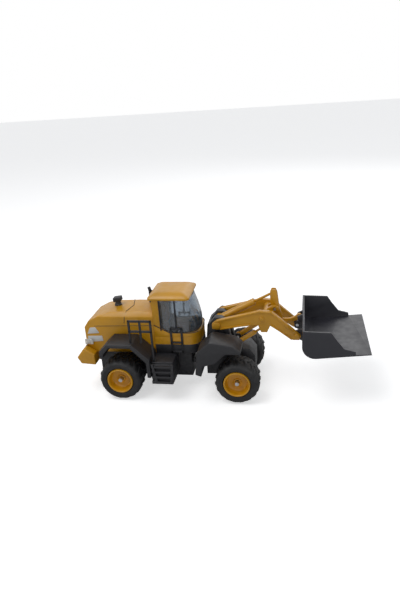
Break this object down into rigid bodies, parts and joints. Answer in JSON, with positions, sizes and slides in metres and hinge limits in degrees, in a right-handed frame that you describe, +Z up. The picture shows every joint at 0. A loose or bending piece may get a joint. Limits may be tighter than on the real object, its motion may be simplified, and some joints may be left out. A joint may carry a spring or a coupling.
{
  "type": "toy front loader",
  "caption": "Articulated toy wheel loader with a lifting boom, tilting bucket, steering waist, glazed cab and lugged tyres on solid axles.",
  "frame": {"origin": "on the floor under the middle of the overall length, in the plane of symmetry of the wheels", "axes": "+X forward towards the bucket, +Y to the vehicle's left, +Z up"},
  "size_m": [0.2958, 0.094, 0.1085],
  "materials": {
    "body": "yellow moulded plastic",
    "trim": "black moulded plastic",
    "rubber": "black soft rubber",
    "steel": "plain pins and axles",
    "glass": "smoked clear plastic",
    "lamp": "clear pale plastic"
  },
  "bodies": {
    "chassis": {"rear_frame": "trim", "hitch_pin": "steel", "bonnet": "body", "counterweight": "body", "tail_grille": "trim", "right_tail_lamp": "lamp", "left_tail_lamp": "lamp", "air_stack": "trim", "exhaust_pipe": "trim", "cab_tub": "body", "cab_rear_wall": "body", "cab_glass": "glass", "cab_roof": "body", "driver_seat": "trim", "steering_wheel": "trim", "right_rear_fender": "trim", "left_rear_fender": "trim", "right_steps": "trim", "left_steps": "trim", "right_handrail": "trim", "left_handrail": "trim"},
    "rear_wheels": {"rear_axle": "steel", "right_rear_tyre": "rubber", "left_rear_tyre": "rubber", "right_rear_rim": "body", "left_rear_rim": "body"},
    "front_half": {"front_frame": "trim", "right_front_fender": "trim", "left_front_fender": "trim", "boom_pin": "steel", "lift_pin": "steel"},
    "front_wheels": {"front_axle": "steel", "right_front_tyre": "rubber", "left_front_tyre": "rubber", "right_front_rim": "body", "left_front_rim": "body"},
    "boom": {"right_lift_arm": "body", "left_lift_arm": "body", "cross_tube": "body", "crank_pin": "steel", "right_bucket_pin": "steel", "left_bucket_pin": "steel"},
    "bucket": {"bucket": "trim"},
    "bell_crank": {"bell_crank": "body", "crank_foot_pin": "steel"},
    "bucket_link": {"bucket_link": "body"},
    "tilt_barrel": {"tilt_barrel": "body"},
    "tilt_rod": {"tilt_rod": "body"},
    "lift_barrels": {"right_lift_barrel": "body", "left_lift_barrel": "body"},
    "lift_rods": {"right_lift_rod": "body", "left_lift_rod": "body"}
  },
  "joints": [
    {"name": "rear_wheel_spin", "type": "hinge", "parent": "chassis", "child": "rear_wheels", "pos_m": [-0.09789, 0, 0.0225], "axis": [0, 1, 0], "continuous": true},
    {"name": "steer", "type": "hinge", "parent": "chassis", "child": "front_half", "pos_m": [-0.01989, 0, 0.034], "axis": [0, 0, 1], "range_deg": [-18, 18]},
    {"name": "front_wheel_spin", "type": "hinge", "parent": "front_half", "child": "front_wheels", "pos_m": [0.02211, 0, 0.0225], "axis": [0, 1, 0], "continuous": true},
    {"name": "lift", "type": "hinge", "parent": "front_half", "child": "boom", "pos_m": [0.00111, 0, 0.074], "axis": [0, -1, 0], "range_deg": [-15, 22]},
    {"name": "bucket_tilt", "type": "hinge", "parent": "boom", "child": "bucket", "pos_m": [0.08011, 0, 0.063], "axis": [0, -1, 0], "range_deg": [-30, 20]},
    {"name": "crank_turn", "type": "hinge", "parent": "boom", "child": "bell_crank", "pos_m": [0.05811, 0, 0.087], "axis": [0, -1, 0], "range_deg": [-20, 30]},
    {"name": "link_turn", "type": "hinge", "parent": "bell_crank", "child": "bucket_link", "pos_m": [0.06411, 0, 0.073], "axis": [0, -1, 0], "range_deg": [-42, 29]},
    {"name": "tilt_barrel_turn", "type": "hinge", "parent": "boom", "child": "tilt_barrel", "pos_m": [0.00111, 0, 0.074], "axis": [0, -1, 0], "range_deg": [-3, 4]},
    {"name": "tilt_rod_slide", "type": "slide", "parent": "tilt_barrel", "child": "tilt_rod", "axis": [0.888, 0, 0.4599], "range_m": [-0.0085, 0.006]},
    {"name": "lift_barrel_turn", "type": "hinge", "parent": "front_half", "child": "lift_barrels", "pos_m": [0.01911, 0, 0.051], "axis": [0, -1, 0], "range_deg": [-18, 26]},
    {"name": "lift_rod_slide", "type": "slide", "parent": "lift_barrels", "child": "lift_rods", "axis": [0.8365, 0, 0.548], "range_m": [-0.009, 0.013]}
  ],
  "couplings": [
    {"joint": "crank_turn", "follows": "bucket_tilt", "ratio": -0.92},
    {"joint": "link_turn", "follows": "bucket_tilt", "ratio": 1.33},
    {"joint": "tilt_barrel_turn", "follows": "bucket_tilt", "ratio": -0.09},
    {"joint": "tilt_rod_slide", "follows": "bucket_tilt", "m_per_rad": 0.0134},
    {"joint": "lift_barrel_turn", "follows": "lift", "ratio": 1.05},
    {"joint": "lift_rod_slide", "follows": "lift", "m_per_rad": 0.0291}
  ]
}
